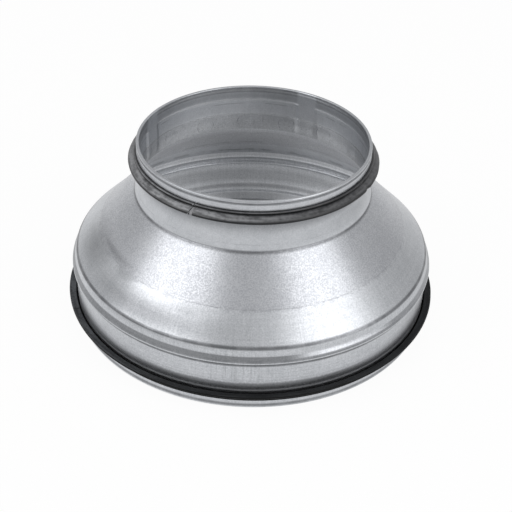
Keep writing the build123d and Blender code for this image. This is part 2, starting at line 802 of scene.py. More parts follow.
    def _shade(
        self, skin: Surface, wear: NodeSocket, worked: NodeSocket | float, shade_and_soot: NodeSocket
    ) -> NodeSocket:
        """Colour of the skin.

        Args:
            skin: the material's graph.
            wear: noise that sets the dull flecks.
            worked: how hard the press worked a place.
            shade_and_soot: how dark the painted shade and the marks make the skin.

        Returns:
            Clean zinc with dull flecks, painted shade and dark marks.
        """
        press = self.belt or self
        begin, full = self.fleck_range
        dullness = skin.add("MapRange", {0: wear, 1: begin, 2: full})
        clean, fleck = (
            skin.add(
                "Mix",
                {"Factor": worked, "A": linear(plain), "B": linear(pressed)},
                data_type="RGBA",
            )
            for plain, pressed in ((self.tone, press.tone), (self.dull, press.dull))
        )
        flecked = skin.add("Mix", {"Factor": dullness, "A": clean, "B": fleck}, data_type="RGBA")
        return skin.add(
            "Mix", {"Factor": shade_and_soot, "A": flecked, "B": linear(self.shade_and_soot)}, data_type="RGBA"
        )

    def _paint_pale_reflection(
        self, skin: Surface, outer: NodeSocket, shade: NodeSocket
    ) -> dict[str, NodeSocket]:
        """Lay the pale painted reflection over the zinc.

        Args:
            skin: the material's graph.
            outer: a mark that is 1 on the outer face.
            shade: colour of the skin.

        Returns:
            The shader's inputs that the painted reflection changes.
        """
        pale_reflection = self.pale_reflection
        line = skin.between(skin.height, (pale_reflection.low, pale_reflection.low_fade), (pale_reflection.high, pale_reflection.high_fade))
        lies = skin.add("Math", {0: line, 1: outer}, operation="MULTIPLY")
        hides = skin.add("Math", {0: lies, 1: pale_reflection.share}, operation="MULTIPLY")
        return {
            "Base Color": skin.add(
                "Mix", {"Factor": hides, "A": shade, "B": linear(pale_reflection.tone)}, data_type="RGBA"
            ),
            "Metallic": skin.add("Math", {0: 1.0, 1: hides}, operation="SUBTRACT"),
        }

    def _shade_and_marks(
        self, skin: Surface, faces: dict[Side, NodeSocket], upright: NodeSocket
    ) -> NodeSocket:
        """Everything that darkens the zinc: painted shade beside the gasket, at the bends and on
        patches, and the tool lines, streaks and weld marks.

        Args:
            skin: the material's graph.
            faces: a mark that is 1 on each face of the sheet.
            upright: the drawing lines that run up the part.

        Returns:
            How dark the skin is, from 0 to 1.
        """
        gaps = skin.add("TexNoise", {"Vector": skin.place, "Scale": per_mm(self.dash_size)})
        begin, full = self.streak_range
        streaks = skin.add("MapRange", {0: upright, 1: begin, 2: full})
        marks = [(self._gasket_shade_band(skin, upright), Side.OUTER)]
        marks += [(self._ring(skin, ring, gaps), ring.side) for ring in self.rings]
        marks += [(self._dark_patch_mark(skin, dark_patch, streaks), dark_patch.side) for dark_patch in self.shades_and_smears]
        dark = self.welds.marks(skin) if self.welds else 0.0
        for mark, side in marks:
            shown = skin.add("Math", {0: mark, 1: faces[side]}, operation="MULTIPLY")
            dark = skin.add("Math", {0: dark, 1: shown}, operation="MAXIMUM")
        return dark

    def _gasket_shade_band(self, skin: Surface, upright: NodeSocket) -> NodeSocket:
        """Painted shade on the plain wall beside the gasket.

        Args:
            skin: the material's graph.
            upright: the drawing lines that run up the part and fray the shade's edges.

        Returns:
            How dark the painted shade is, from 0 to 1.
        """
        gasket_shade = self.gasket_shade
        least, most = NOISE_RANGE
        fray = skin.add(
            "MapRange", {0: upright, 1: least, 2: most, 3: -gasket_shade.fray, 4: gasket_shade.fray}
        )
        frayed = skin.add("Math", {0: skin.height, 1: fray}, operation="ADD")
        shaded_band = skin.between(frayed, (gasket_shade.low, gasket_shade.low_fade), (gasket_shade.high, gasket_shade.high_fade))
        ahead = skin.fading(skin.azimuth, 0.0, math.radians(gasket_shade.spread), gasket_shade.soft_round)
        shown = skin.add("Math", {0: shaded_band, 1: ahead}, operation="MULTIPLY")
        return skin.add("Math", {0: shown, 1: gasket_shade.share}, operation="MULTIPLY")

    def _ring(self, skin: Surface, ring: ShadeAndToolRing, gaps: NodeSocket) -> NodeSocket:
        """One dark ring, which is painted shade at most places and a fine tool line at a few.

        Args:
            skin: the material's graph.
            ring: the ring.
            gaps: noise that breaks it into dashes.

        Returns:
            How dark it is, from 0 to 1.
        """
        band = skin.fading(skin.height, ring.height, ring.half_width, ring.soft)
        begin, full = self.dash_range
        worn = ring.share * (1 - ring.broken)
        dashes = skin.add("MapRange", {0: gaps, 1: begin, 2: full, 3: worn, 4: ring.share})
        return skin.add("Math", {0: band, 1: dashes}, operation="MULTIPLY")

    def _dark_patch_mark(self, skin: Surface, dark_patch: ShadeAndSmear, streaks: NodeSocket) -> NodeSocket:
        """One dark patch, which is painted shade at all but the streaked one.

        Args:
            skin: the material's graph.
            dark_patch: the patch.
            streaks: the drawing lines that a streaked patch follows.

        Returns:
            How dark it is, from 0 to 1.
        """
        turned = skin.add(
            "Math", {0: skin.azimuth, 1: math.radians(dark_patch.azimuth)}, operation="SUBTRACT"
        )
        near = skin.add("Math", {0: turned, 1: math.pi, 2: -math.pi}, operation="WRAP")
        beside = skin.fading(near, 0.0, math.radians(dark_patch.spread), dark_patch.soft_round)
        beyond = skin.fading(skin.height, dark_patch.height, dark_patch.half_height, dark_patch.soft)
        mark = skin.add("Math", {0: beside, 1: beyond}, operation="MULTIPLY")
        if dark_patch.streaked:
            mark = skin.add("Math", {0: mark, 1: streaks}, operation="MULTIPLY")
        return skin.add("Math", {0: mark, 1: dark_patch.share}, operation="MULTIPLY")


@dataclass(frozen=True)
class BlackRubber:
    """Extruded EPDM rubber: black, matt to satin, with a dusty bloom.

    The die leaves fine streaks along the ring. Dust lies on what faces up, more on one side of
    the ring than on the other, and turns the black there to a soft grey. That grey also stands in
    for the light on the upturned faces, as painted light, and the gaps at the foot of the lips are
    kept black, as painted shade.

    Attributes:
        name: material name.
        tone: colour of the clean rubber.
        dust_and_light_tone: colour of the dust, which also paints the light on the upturned faces.
        roughness: roughness of the plain skin.
        gloss: how much of a smooth rubber's gloss the surface keeps.
        dusty_azimuth: where round the ring the dust is thickest.
        dusty_spread: where it has thinned to its least, to both sides, in degrees.
        least: share of the dust that is left there.
        shaded_gap_radius: radius in millimetres within which the rubber gets no dust, as painted shade
            in the gaps at the foot of the lips.
        cut_azimuth: where the ring is jointed, and its cut ends are pale.
        cut_spread: where that has gone, to both sides, in degrees.
        cut_soft: share of that over which it fades.
        cut_share: how pale the cut ends are.
        dust_fade: how far the dust fades to both sides of the radius where it begins.
        slope_range: how far up the surface faces where the dust and its painted light begin and are
            full.
        patch_range: noise at which the dust is thinnest and full.
        patch_least: share of the dust in its thin patches.
        smoother: how far the roughness falls at most.
        rougher: how far it rises at most.
        sheen_range: noise at which the skin is smoothest and roughest.
        streak_size: width of a streak in millimetres.
        streak_stretch: scale of the pattern along the streaks, as a share of that across them.
        streak_share: share of the streaks in the skin's noise, beside clouds.
        bloom_size: width of a cloud of dust.
        grain_size: width of the grain.
        grain_depth: depth of the grain and the streaks.
    """

    name: str
    tone: str
    dust_and_light_tone: str
    roughness: float
    gloss: float
    dusty_azimuth: float
    dusty_spread: float
    least: float
    shaded_gap_radius: float
    cut_azimuth: float
    cut_spread: float = 0.8
    cut_soft: float = 0.5
    cut_share: float = 0.65
    dust_fade: float = 0.7
    slope_range: tuple[float, float] = (0.5, 0.92)
    patch_range: tuple[float, float] = (0.38, 0.58)
    patch_least: float = 0.35
    smoother: float = 0.06
    rougher: float = 0.1
    sheen_range: tuple[float, float] = (0.35, 0.65)
    streak_size: float = 0.8
    streak_stretch: float = 0.05
    streak_share: float = 0.6
    bloom_size: float = 2.6
    grain_size: float = 0.9
    grain_depth: float = 0.03

    def make(self) -> Material:
        """Build the material.

        Returns:
            The finished material.
        """
        material, skin = new_material(self.name)
        clouds, grain = (
            skin.add("TexNoise", {"Vector": skin.place, "Scale": per_mm(size), "Detail": detail})
            for size, detail in ((self.bloom_size, 5.0), (self.grain_size, 2.0))
        )
        streaks = skin.lines(self.streak_size, self.streak_stretch, 1.0)
        patches = skin.add("Mix", {"Factor": self.streak_share, "A": clouds, "B": streaks})
        shade = skin.add(
            "Mix",
            {"Factor": self._dust_and_top_light(skin, patches), "A": linear(self.tone), "B": linear(self.dust_and_light_tone)},
            data_type="RGBA",
        )
        smoothest, roughest = self.sheen_range
        rough = skin.add(
            "MapRange",
            {
                0: patches,
                1: smoothest,
                2: roughest,
                3: self.roughness - self.smoother,
                4: self.roughness + self.rougher,
            },
        )
        relief = skin.add("Mix", {"Factor": 0.5, "A": grain, "B": streaks})
        bump = skin.add(
            "Bump", {"Strength": 1.0, "Distance": self.grain_depth * MM, "Height": relief}
        )
        looks = {
            "Base Color": shade,
            "Roughness": rough,
            "Specular IOR Level": self.gloss,
            "Normal": bump,
        }
        shader = skin.add("BsdfPrincipled", looks)
        skin.add("OutputMaterial", {"Surface": shader})
        return material

    def _dust_and_top_light(self, skin: Surface, patches: NodeSocket) -> NodeSocket:
        """How thick the dust lies, which also paints the light on the upturned faces.

        Args:
            skin: the material's graph.
            patches: noise of the rubber's skin.

        Returns:
            A share from 0 to 1.
        """
        up = skin.add("SeparateXYZ", {0: skin.facing}).node.outputs["Z"]
        begin, full = self.slope_range
        lies = skin.add("MapRange", {0: up, 1: begin, 2: full}, interpolation_type="SMOOTHSTEP")
        zone, cut = (
            skin.fading(skin.azimuth, math.radians(azimuth), math.radians(spread), soft)
            for azimuth, spread, soft in (
                (self.dusty_azimuth, self.dusty_spread, 1.0),
                (self.cut_azimuth, self.cut_spread, self.cut_soft),
            )
        )
        thick = skin.add("MapRange", {0: zone, 3: self.least, 4: 1.0})
        thin, full = self.patch_range
        patchy = skin.add("MapRange", {0: patches, 1: thin, 2: full, 3: self.patch_least, 4: 1.0})
        there = skin.add("Math", {0: lies, 1: thick}, operation="MULTIPLY")
        dusty = skin.add("Math", {0: there, 1: patchy}, operation="MULTIPLY")
        pale = skin.add("Math", {0: cut, 1: self.cut_share}, operation="MULTIPLY")
        dust = skin.add("Math", {0: dusty, 1: pale}, operation="MAXIMUM")
        # no dust in the gaps at the foot of the lips, which leaves painted shade there
        reach = skin.add("VectorMath", {0: skin.flat}, "Value", operation="LENGTH")
        inside, outside = ((self.shaded_gap_radius + off) * MM for off in (-self.dust_fade, self.dust_fade))
        open_face = skin.add("MapRange", {0: reach, 1: inside, 2: outside})
        return skin.add("Math", {0: dust, 1: open_face}, operation="MULTIPLY")


@dataclass(frozen=True)
class SpigotEnd:
    """Folded rim and gasket groove of a spigot end; lengths run from the rim into the part.

    Attributes:
        end: which end it is.
        wall: radius of the plain wall outside.
        rim: height of the rim.
        sheet: thickness of the sheet.
        hem_length: length of the folded edge.
        hem_slit: slit between the two layers of the fold.
        line_place: middle of the fine line rolled into the fold.
        line_half: half the width of that line.
        line_depth: its depth.
        seat_length: length of the groove's floor.
        seat_slope: length of the slope out of the groove.
        seat_depth: depth of the groove.
        fold_room: what the fold stays short of the rim by, apart from the sheet.
        bend: rounding of the bends.
        line_segments: faces across a bend of the rolled line.
        fold_segments: faces across each half of the fold.
    """

    end: End
    wall: float
    rim: float
    sheet: float = 0.7
    hem_length: float = 7.2
    hem_slit: float = 0.4
    line_place: float = 2.2
    line_half: float = 0.65
    line_depth: float = 0.28
    seat_length: float = 2.8
    seat_slope: float = 1.1
    seat_depth: float = 0.7
    fold_room: float = 0.02
    bend: float = 0.3
    line_segments: int = 2
    fold_segments: int = 5

    @property
    def seat(self) -> float:
        """Radius of the groove's floor."""
        return self.wall - self.seat_depth

    def height(self, depth: float) -> float:
        """Height of a place this far in from the rim."""
        return self.rim + self.end.value * depth

    def corners(self) -> list[Corner]:
        """Outer face of the sheet, from the plain wall into the fold.

        Returns:
            The section's corners.
        """
        seat_end = self.hem_length + self.seat_length
        fold = self.height(self.sheet + self.fold_room)
        hem = self.seat + self.hem_slit
        return [
            Corner(self.wall, self.height(seat_end + self.seat_slope), self.bend),
            Corner(self.seat, self.height(seat_end), self.bend),
            *reversed(self._rolled_line(self.seat)),
            Corner(self.seat, fold, self.hem_slit / 2, self.fold_segments),
            Corner(hem, fold, self.hem_slit / 2, self.fold_segments),
            *self._rolled_line(hem),
            Corner(hem, self.height(self.hem_length)),
        ]

    def _rolled_line(self, radius: float) -> list[Corner]:
        """The fine line in one layer of the fold, from the rim into the part.

        Args:
            radius: radius of that layer.

        Returns:
            Its three corners.
        """
        places = ((-self.line_half, 0.0), (0.0, self.line_depth), (self.line_half, 0.0))
        return [
            Corner(
                radius - depth, self.height(self.line_place + off), self.bend, self.line_segments
            )
            for off, depth in places
        ]


@dataclass(frozen=True)
class Seam:
    """A lapped seam of the rolled collar.

    Attributes:
        azimuth: its middle round the axis.
        width: width of the lap in millimetres.
        radius: radius of the wall there.
        edge: how far its edges fade, in degrees.
    """

    azimuth: float
    width: float = 15.0
    radius: float = 78.0
    edge: float = 1.3

    def share(self, azimuth: float) -> float:
        """How much of the lap's thickness there is at an azimuth.

        Args:
            azimuth: a place round the axis.

        Returns:
            A share from 0 to 1.
        """
        half = math.degrees(self.width / 2 / self.radius)
        off = abs(turn_between(azimuth, self.azimuth))
        return ease((half - off) / self.edge + 0.5)


def lap_share(seams: tuple[Seam, ...], point: Vector) -> float:
    """How much of a lap's thickness there is at a point, from 0 to 1."""
    return max(seam.share(azimuth_of(point)) for seam in seams)


@dataclass(frozen=True)
class Pressing:
    """The one-piece pressing: upturned neck, cone, band, flare, stop, skirt and folded rim.

    Attributes:
        spigot: its open end.
        seams: the collar's seams, which the upturned neck follows.
        welds: the spot welds in that neck.
        neck_top: cut edge of the upturned neck.
        cone_top: bend from that neck to the cone.
        crease: faint crease part way down the cone.
        cone_foot: bend from the cone to the short upright band.
        band_foot: bend from the band to the flare.
        flare_foot: bend from the flare to the stop.
        stop: edge that stops the duct.
        skirt_top: bend from the stop to the plain skirt.
        thin_length: length over which the neck's edge is drawn out thin.
        thin_sheet: its thickness at the edge.
        seam_depth: how far the neck bulges inward at a seam.
        seam_fade: height over which that bulge begins.
        weld_depth: depth of the dish at a weld.
        weld_steepness: how fast a dish falls from its edge, 1 if it falls to its very middle.
        unevenness: how far the cone strays.
        unevenness_size: width of its swells.
        even_top: height below the cone's top that stays even.
        even_foot: height over the cone's foot that stays even.
        even_fade: height over which the unevenness begins and ends.
        longest_step: length of a face along the section at most.
        steps: faces round the axis.
    """

    spigot: SpigotEnd
    seams: tuple[Seam, ...]
    welds: SpotWelds
    neck_top: Corner = Corner(78.02, 105.3)
    cone_top: Corner = Corner(80.2, 91.85, 0.8)
    crease: Corner = Corner(106.6, 63.9, 0.9)
    cone_foot: Corner = Corner(123.7, 47.1, 1.2)
    band_foot: Corner = Corner(124.6, 42.6, 0.7)
    flare_foot: Corner = Corner(126.4, 39.3, 0.6)
    stop: Corner = Corner(126.85, 37.4, 0.5)
    skirt_top: Corner = Corner(124.7, 35.6, 0.8)
    thin_length: float = 7.0
    thin_sheet: float = 0.12
    seam_depth: float = 0.68
    seam_fade: float = 3.0
    weld_depth: float = 0.16
    weld_steepness: float = 1.6
    unevenness: float = 0.10
    unevenness_size: float = 26.0
    even_top: float = 6.0
    even_foot: float = 2.0
    even_fade: float = 8.0
    longest_step: float = 2.2
    steps: int = 336

    def build(self, finish: GalvanisedSheet) -> Object:
        """Model and dress the pressing.

        Args:
            finish: its zinc skin.

        Returns:
            The finished piece.
        """
        corners = [
            self.neck_top,
            self.cone_top,
            self.crease,
            self.cone_foot,
            self.band_foot,
            self.flare_foot,
            self.stop,
            self.skirt_top,
        ]
        section = Section(corners + self.spigot.corners()).divide(self.longest_step)
        mesh = section.turn(self.steps)
        give_thickness(mesh, self.spigot.sheet)
        self._thin_edge(mesh)
        self._follow_seams(mesh)
        self._dish_welds(mesh)
        self._dent_cone(mesh)
        return finish_piece("pressing", mesh, finish.make(), "pressed_cone")

    def _thin_edge(self, mesh: BMesh) -> None:
        """Draw the upturned neck's edge out thin, so that the air side has no ledge there.

        Args:
            mesh: the pressing's wall.
        """
        top, foot = self.neck_top, self.cone_top
        slope = (foot.radius - top.radius) / (top.height - foot.height)
        for vert in mesh.verts:
            below = top.height - vert.co.z / MM
            near = ease(1 - below / self.thin_length)
            depth = top.radius + slope * below - radius_of(vert.co)
            if near > 0 and depth > self.spigot.sheet / 2:
                push(vert.co, (self.spigot.sheet - self.thin_sheet) * near)

    def _follow_seams(self, mesh: BMesh) -> None:
        """Let the upturned neck bulge inward over the collar's doubled sheet.

        Args:
            mesh: the pressing's wall.
        """
        for vert in mesh.verts:
            above = vert.co.z / MM - self.cone_top.height
            if above > 0:
                hold = ease(above / self.seam_fade)
                push(vert.co, -self.seam_depth * lap_share(self.seams, vert.co) * hold)

    def _dish_welds(self, mesh: BMesh) -> None:
        """Press a shallow dish into the upturned neck at each spot weld.

        Args:
            mesh: the pressing's wall.
        """
        welds = self.welds
        pitch = 360 / welds.count
        for vert in mesh.verts:
            height = vert.co.z / MM
            rise = height - welds.height
            if abs(rise) > welds.ring or height < self.cone_top.height:
                continue
            turn = turn_between(azimuth_of(vert.co), welds.first)
            near = (turn + pitch / 2) % pitch - pitch / 2
            arc = math.radians(near) * radius_of(vert.co)
            share = 1 - math.hypot(arc, rise) / welds.ring
            if share > 0:
                push(vert.co, -self.weld_depth * ease(share * self.weld_steepness))

    def _dent_cone(self, mesh: BMesh) -> None:
        """Give the cone the slight unevenness that pressing leaves.

        Args:
            mesh: the pressing's wall.
        """
        top = self.cone_top.height - self.even_top
        foot = self.cone_foot.height + self.even_foot
        for vert in mesh.verts:
            height = vert.co.z / MM
            hold = ease((top - height) / self.even_fade) * ease((height - foot) / self.even_fade)
            if hold > 0:
                swell = noise.noise(vert.co / (self.unevenness_size * MM))
                push(vert.co, swell * self.unevenness * hold, swell * self.unevenness * hold)


@dataclass(frozen=True)
class Collar:
    """The rolled collar over the upturned neck, with its lapped seams.

    Attributes:
        spigot: its open end.
        seams: its lapped seams.
        foot: cut lower edge.
        flare_top: where its flared foot ends.
        taper_top: height where it has narrowed to the plain wall.
        taper_bend: rounding of the bend there.
        lip_reach: how far the rim leans in over the air.
        lip_length: height over which it does.
        lap_depth: how far a lap stands in from the wall.
        crimp: unevenness of the folded hem.
        crimp_size: width of that unevenness.
        taper_slack: how far below that height the air side is still shaped.
        edge_slack: how far past a wall or an edge a point still counts as on it.
        hem_skin: depth of the hem's outer layer that is crimped.
        longest_step: length of a face along the section at most.
        steps: faces round the axis.
    """

    spigot: SpigotEnd
    seams: tuple[Seam, ...]
    foot: Corner = Corner(81.15, 92.0)
    flare_top: Corner = Corner(80.65, 94.0, 0.9)
    taper_top: float = 105.6
    taper_bend: float = 1.2
    lip_reach: float = 0.5
    lip_length: float = 3.4
    lap_depth: float = 0.75
    crimp: float = 0.05
    crimp_size: float = 5.0
    taper_slack: float = 0.3
    edge_slack: float = 0.1
    hem_skin: float = 0.2
    longest_step: float = 1.6
    steps: int = 540

    def build(self, finish: GalvanisedSheet) -> Object:
        """Model and dress the collar.

        Args:
            finish: its zinc skin.

        Returns:
            The finished piece.
        """
        taper = Corner(self.spigot.wall, self.taper_top, self.taper_bend)
        corners = [self.foot, self.flare_top, taper]
        section = Section(corners + self.spigot.corners()).divide(self.longest_step)
        mesh = section.turn(self.steps)
        give_thickness(mesh, self.spigot.sheet)
        self._shape_air_side(mesh)
        self._crimp_hem(mesh)
        return finish_piece("collar", mesh, finish.make(), "neck_collar")

    def _shape_air_side(self, mesh: BMesh) -> None:
        """Let the rim lean in over the air, and lay each lap flush from the rim to the neck.

        Args:
            mesh: the collar's wall.
        """
        mesh.normal_update()
        lap = mesh.verts.layers.float.new(LAP)
        wall = self.spigot.wall - self.spigot.sheet
        begin = self.spigot.rim - self.lip_length
        for vert in mesh.verts:
            height = vert.co.z / MM
            faces_air = vert.normal.xy.dot(vert.co.xy) <= 0
            in_wall = radius_of(vert.co) <= wall + self.edge_slack
            if not (faces_air and in_wall and height >= self.taper_top - self.taper_slack):
                continue
            push(vert.co, -self.lip_reach * ease((height - begin) / self.lip_length))
            share = lap_share(self.seams, vert.co)
            vert[lap] = share
            raised = radius_of(vert.co) - (wall - self.lap_depth)
            if raised > 0:
                push(vert.co, -raised * share)

    def _crimp_hem(self, mesh: BMesh) -> None:
        """Give the folded hem the fine unevenness of its rolling.

        Args:
            mesh: the collar's wall.
        """
        low = self.spigot.rim - self.spigot.hem_length - self.edge_slack
        for vert in mesh.verts:
            if vert.co.z / MM > low and radius_of(vert.co) > self.spigot.wall - self.hem_skin:
                spot = vert.co / (self.crimp_size * MM)
                push(vert.co, self.crimp * noise.noise(spot) - self.crimp)


@dataclass(frozen=True)
class Gasket:
    """A rubber ring with a short guide lip and a long sealing lip, butt-jointed once.

    Attributes:
        name: the piece's name.
        node: the CAD node that it replaces.
        spigot: the end that it sits on.
        joint_azimuth: where it is jointed.
        wrinkle_azimuth: where the sealing lip is wrinkled, if it is.
        foot_front: where its foot begins, from the rim.
        foot_rear: where its foot ends.
        foot_height: height of the foot off the groove's floor.
        bridge: height of the rubber between the lips.
        longest: reach of the sealing lip.
        joint_gap: width of the joint.
        joint_slant: turn of the joint in degrees for each millimetre of height.
        slant_spread: where that turn has gone, to both sides, in degrees.
        waviness: how far the lips waver.
        wave: scale of their waves, on a circle of radius 1.
        ripple: the same for their finer ripples.
        ripple_share: size of a ripple, as a share of a wave.
        wrinkle_spread: where the wrinkle has gone, to both sides, in degrees.
        wrinkle_depth: how far it draws the lip in.
        longest_step: length of a face along the section at most.
        steps: faces round the axis.
    """

    name: str
    node: str
    spigot: SpigotEnd
    joint_azimuth: float
    wrinkle_azimuth: float | None = None
    foot_front: float = 7.25
    foot_rear: float = 9.8
    foot_height: float = 0.5
    bridge: float = 0.8
    longest: float = 6.9
    joint_gap: float = 0.6
    joint_slant: float = 0.35
    slant_spread: float = 9.0
    waviness: float = 0.16
    wave: float = 4.0
    ripple: float = 11.0
    ripple_share: float = 0.5
    wrinkle_spread: float = 2.2
    wrinkle_depth: float = 0.9
    longest_step: float = 1.6
    steps: int = 300

    def build(self, finish: BlackRubber) -> Object:
        """Model and dress the gasket.

        Args:
            finish: its rubber.

        Returns:
            The finished piece.
        """
        section = Section(self._corners(), closed=True).divide(self.longest_step)
        gap = self.joint_gap / self.spigot.wall
        mesh = section.turn(self.steps, math.tau - gap)
        open_edges = [edge for edge in mesh.edges if edge.is_boundary]
        bmesh.ops.holes_fill(mesh, edges=open_edges, sides=0)
        bmesh.ops.recalc_face_normals(mesh, faces=mesh.faces[:])
        start = math.radians(self.joint_azimuth - 90) + gap / 2
        bmesh.ops.rotate(
            mesh, verts=mesh.verts[:], cent=(0, 0, 0), matrix=Matrix.Rotation(start, 3, "Z")
        )
        self._ease_lips(mesh)
        return finish_piece(self.name, mesh, finish.make(), self.node)

    def _corners(self) -> list[Corner]:
        """Set out the rubber's section.

        Returns:
            Its corners, from the reach off the groove's floor, the depth from the rim and the
            rounding of each.
        """
        foot = [(0.0, self.foot_front, 0.0), (self.foot_height, self.foot_front, 0.0)]
        guide_lip = [
            (self.foot_height, 7.35, 0.05),
            (2.8, 7.5, 0.3),
            (3.1, 8.25, 0.3),
            (self.bridge, 8.5, 0.2),
        ]
        sealing_lip = [
            (self.bridge, 9.3, 0.3),
            (3.4, 10.2, 0.8),
            (5.9, 11.2, 1.2),
            (self.longest, 12.7, 0.8),
            (6.4, 13.8, 0.5),
            (3.6, 12.8, 1.0),
            (2.0, 12.7, 0.3),
            (self.bridge, 10.6, 0.0),
        ]
        heel = [(self.bridge, self.foot_rear, 0.0), (0.0, self.foot_rear, 0.0)]
        return [
            Corner(self.spigot.seat + reach, self.spigot.height(depth), bend)
            for reach, depth, bend in foot + guide_lip + sealing_lip + heel
        ]

    def _ease_lips(self, mesh: BMesh) -> None:
        """Let the free lips waver a little, and slant the butt joint.

        Args:
            mesh: the gasket's ring.
        """
        middle = self.spigot.height((self.foot_front + self.foot_rear) / 2)
        for vert in mesh.verts:
            reach = radius_of(vert.co) - self.spigot.seat
            free = ease(reach / self.longest)
            way = Vector((vert.co.x, vert.co.y, 0)).normalized()
            ripple = self.ripple_share * noise.noise(way * self.ripple)
            waver = noise.noise(way * self.wave) + ripple
            push(vert.co, -abs(waver) * self.waviness * free, waver * self.waviness * free)
            if self.wrinkle_azimuth is not None:
                aside = turn_between(azimuth_of(vert.co), self.wrinkle_azimuth)
                fold = ease(1 - abs(aside) / self.wrinkle_spread)
                push(vert.co, -self.wrinkle_depth * fold * free)
            off = turn_between(azimuth_of(vert.co), self.joint_azimuth)
            hold = ease(1 - abs(off) / self.slant_spread)
            turn = math.radians(self.joint_slant * (vert.co.z / MM - middle) * hold)
            vert.co.rotate(Matrix.Rotation(turn, 3, "Z"))


@dataclass(frozen=True)
class SoftBox:
    """A rectangular area lamp on a stand.

    Attributes:
        name: the lamp's name.
        azimuth: where it stands round the object.
        elevation: its height over the horizon in degrees.
        width: width of its face in metres.
        height: height of its face in metres.
        power: watts.
        distance: how far from the object in metres.
    """

    name: str
    azimuth: float
    elevation: float
    width: float
    height: float
    power: float
    distance: float = 1.3

    def place(self, target: Vector) -> Object:
        """Set the lamp up, facing the target.

        Args:
            target: the point that it lights.

        Returns:
            The lamp.
        """
        light = bpy.data.lights.new(self.name, "AREA")
        light.shape = "RECTANGLE"
        light.size = self.width
        light.size_y = self.height
        light.energy = self.power
        lamp = bpy.data.objects.new(self.name, light)
        bpy.context.scene.collection.objects.link(lamp)
        turn, rise = math.radians(self.azimuth), math.radians(self.elevation)
        out = Vector(
            (math.sin(turn) * math.cos(rise), -math.cos(turn) * math.cos(rise), math.sin(rise))
        )
        lamp.location = target + out * self.distance
        lamp.rotation_euler = (-out).to_track_quat("-Z", "Y").to_euler()
        return lamp


@dataclass(frozen=True)
class PhotoCamera:
    """The photograph's camera, found from the ring edges and the outline.

    Attributes:
        place: where it stands, in metres.
        pitch: how far it looks down, in degrees.
        yaw: how far it looks to the right, in degrees.
        roll: how far it leans, in degrees.
        lens: focal length in millimetres.
        sensor: width of the sensor in millimetres.
    """

    place: tuple[float, float, float]
    pitch: float
    yaw: float
    roll: float
    lens: float
    sensor: float = 36.0

    def set_up(self) -> Object:
        """Make the camera and hand it to the scene.

        Returns:
            The camera.
        """
        pitch, yaw, roll = (math.radians(angle) for angle in (self.pitch, self.yaw, self.roll))
        ahead = Vector(
            (math.sin(yaw) * math.cos(pitch), math.cos(yaw) * math.cos(pitch), -math.sin(pitch))
        )
        level = Vector((math.cos(yaw), -math.sin(yaw), 0))
        above = level.cross(ahead)
        right = math.cos(roll) * level + math.sin(roll) * above
        up = math.cos(roll) * above - math.sin(roll) * level
        turn = Matrix((right, up, -ahead)).transposed()
        data = bpy.data.cameras.new("photo_camera")
        data.sensor_width = self.sensor
        data.lens = self.lens
        camera = bpy.data.objects.new("photo_camera", data)
        bpy.context.scene.collection.objects.link(camera)
        camera.matrix_world = Matrix.Translation(self.place) @ turn.to_4x4()
        bpy.context.scene.camera = camera
        return camera


@dataclass(frozen=True)
class InnerLight:
    """Painted light on the floor under the part: a glow that stands in for the light that comes in
    there, which is less than outside.

    Places are shares of that floor's radius, to the right along X and to the back along Y.

    Attributes:
        radius: radius of that floor in metres.
        middle: level in the middle.
        edge: level at the rim.
        right: what the left soft box adds at the right, where it shines in through the mouth.
        back: what both soft boxes add at the back, to both sides.
        front: what the left soft box adds along the front, most of it to the right.
        core: how far out the middle's level goes.
        back_full: how far back the light there is full.
        back_sides: how far aside that light begins and is full.
        front_reach: how far in front the light there begins and is full.
        front_run: where along the front that light begins and is full.
    """

    radius: float
    middle: float
    edge: float
    right: float
    back: float
    front: float
    core: float = 1 / 3
    back_full: float = 1 / 3
    back_sides: tuple[float, float] = (1 / 8, 1 / 2)
    front_reach: tuple[float, float] = (-1 / 2, -0.9)
    front_run: tuple[float, float] = (-1 / 3, 1 / 2)

    def level(self, paper: Surface) -> NodeSocket:
        """Lay the levels out on the floor.

        Args:
            paper: the floor's graph.

        Returns:
            The level at each place, from 0 to 1.
        """
        spot = paper.add("VectorMath", {0: paper.place, "Scale": 1 / self.radius}, operation="SCALE")
        reach = paper.add("VectorMath", {0: spot}, "Value", operation="LENGTH")
        parts = paper.add("SeparateXYZ", {0: spot}).node.outputs
        x, y = parts["X"], parts["Y"]
        base = paper.add("MapRange", {0: reach, 1: self.core, 2: 1.0, 3: self.middle, 4: self.edge})
        back = paper.add("MapRange", {0: y, 1: 0.0, 2: self.back_full, 3: 0.0, 4: self.back})
        aside = paper.add("Math", {0: x}, operation="ABSOLUTE")
        begin, full = self.back_sides
        sides = paper.add("MapRange", {0: aside, 1: begin, 2: full})
        corners = paper.add("Math", {0: back, 1: sides, 2: base}, operation="MULTIPLY_ADD")
        begin, full = self.front_reach
        front = paper.add("MapRange", {0: y, 1: begin, 2: full})
        begin, full = self.front_run
        along = paper.add("MapRange", {0: x, 1: begin, 2: full, 3: 0.0, 4: self.front})
        ahead = paper.add("Math", {0: front, 1: along, 2: corners}, operation="MULTIPLY_ADD")
        right = paper.add("MapRange", {0: x, 1: 0.0, 2: 1.0, 3: 0.0, 4: self.right})
        return paper.add("Math", {0: ahead, 1: right}, operation="ADD", use_clamp=True)


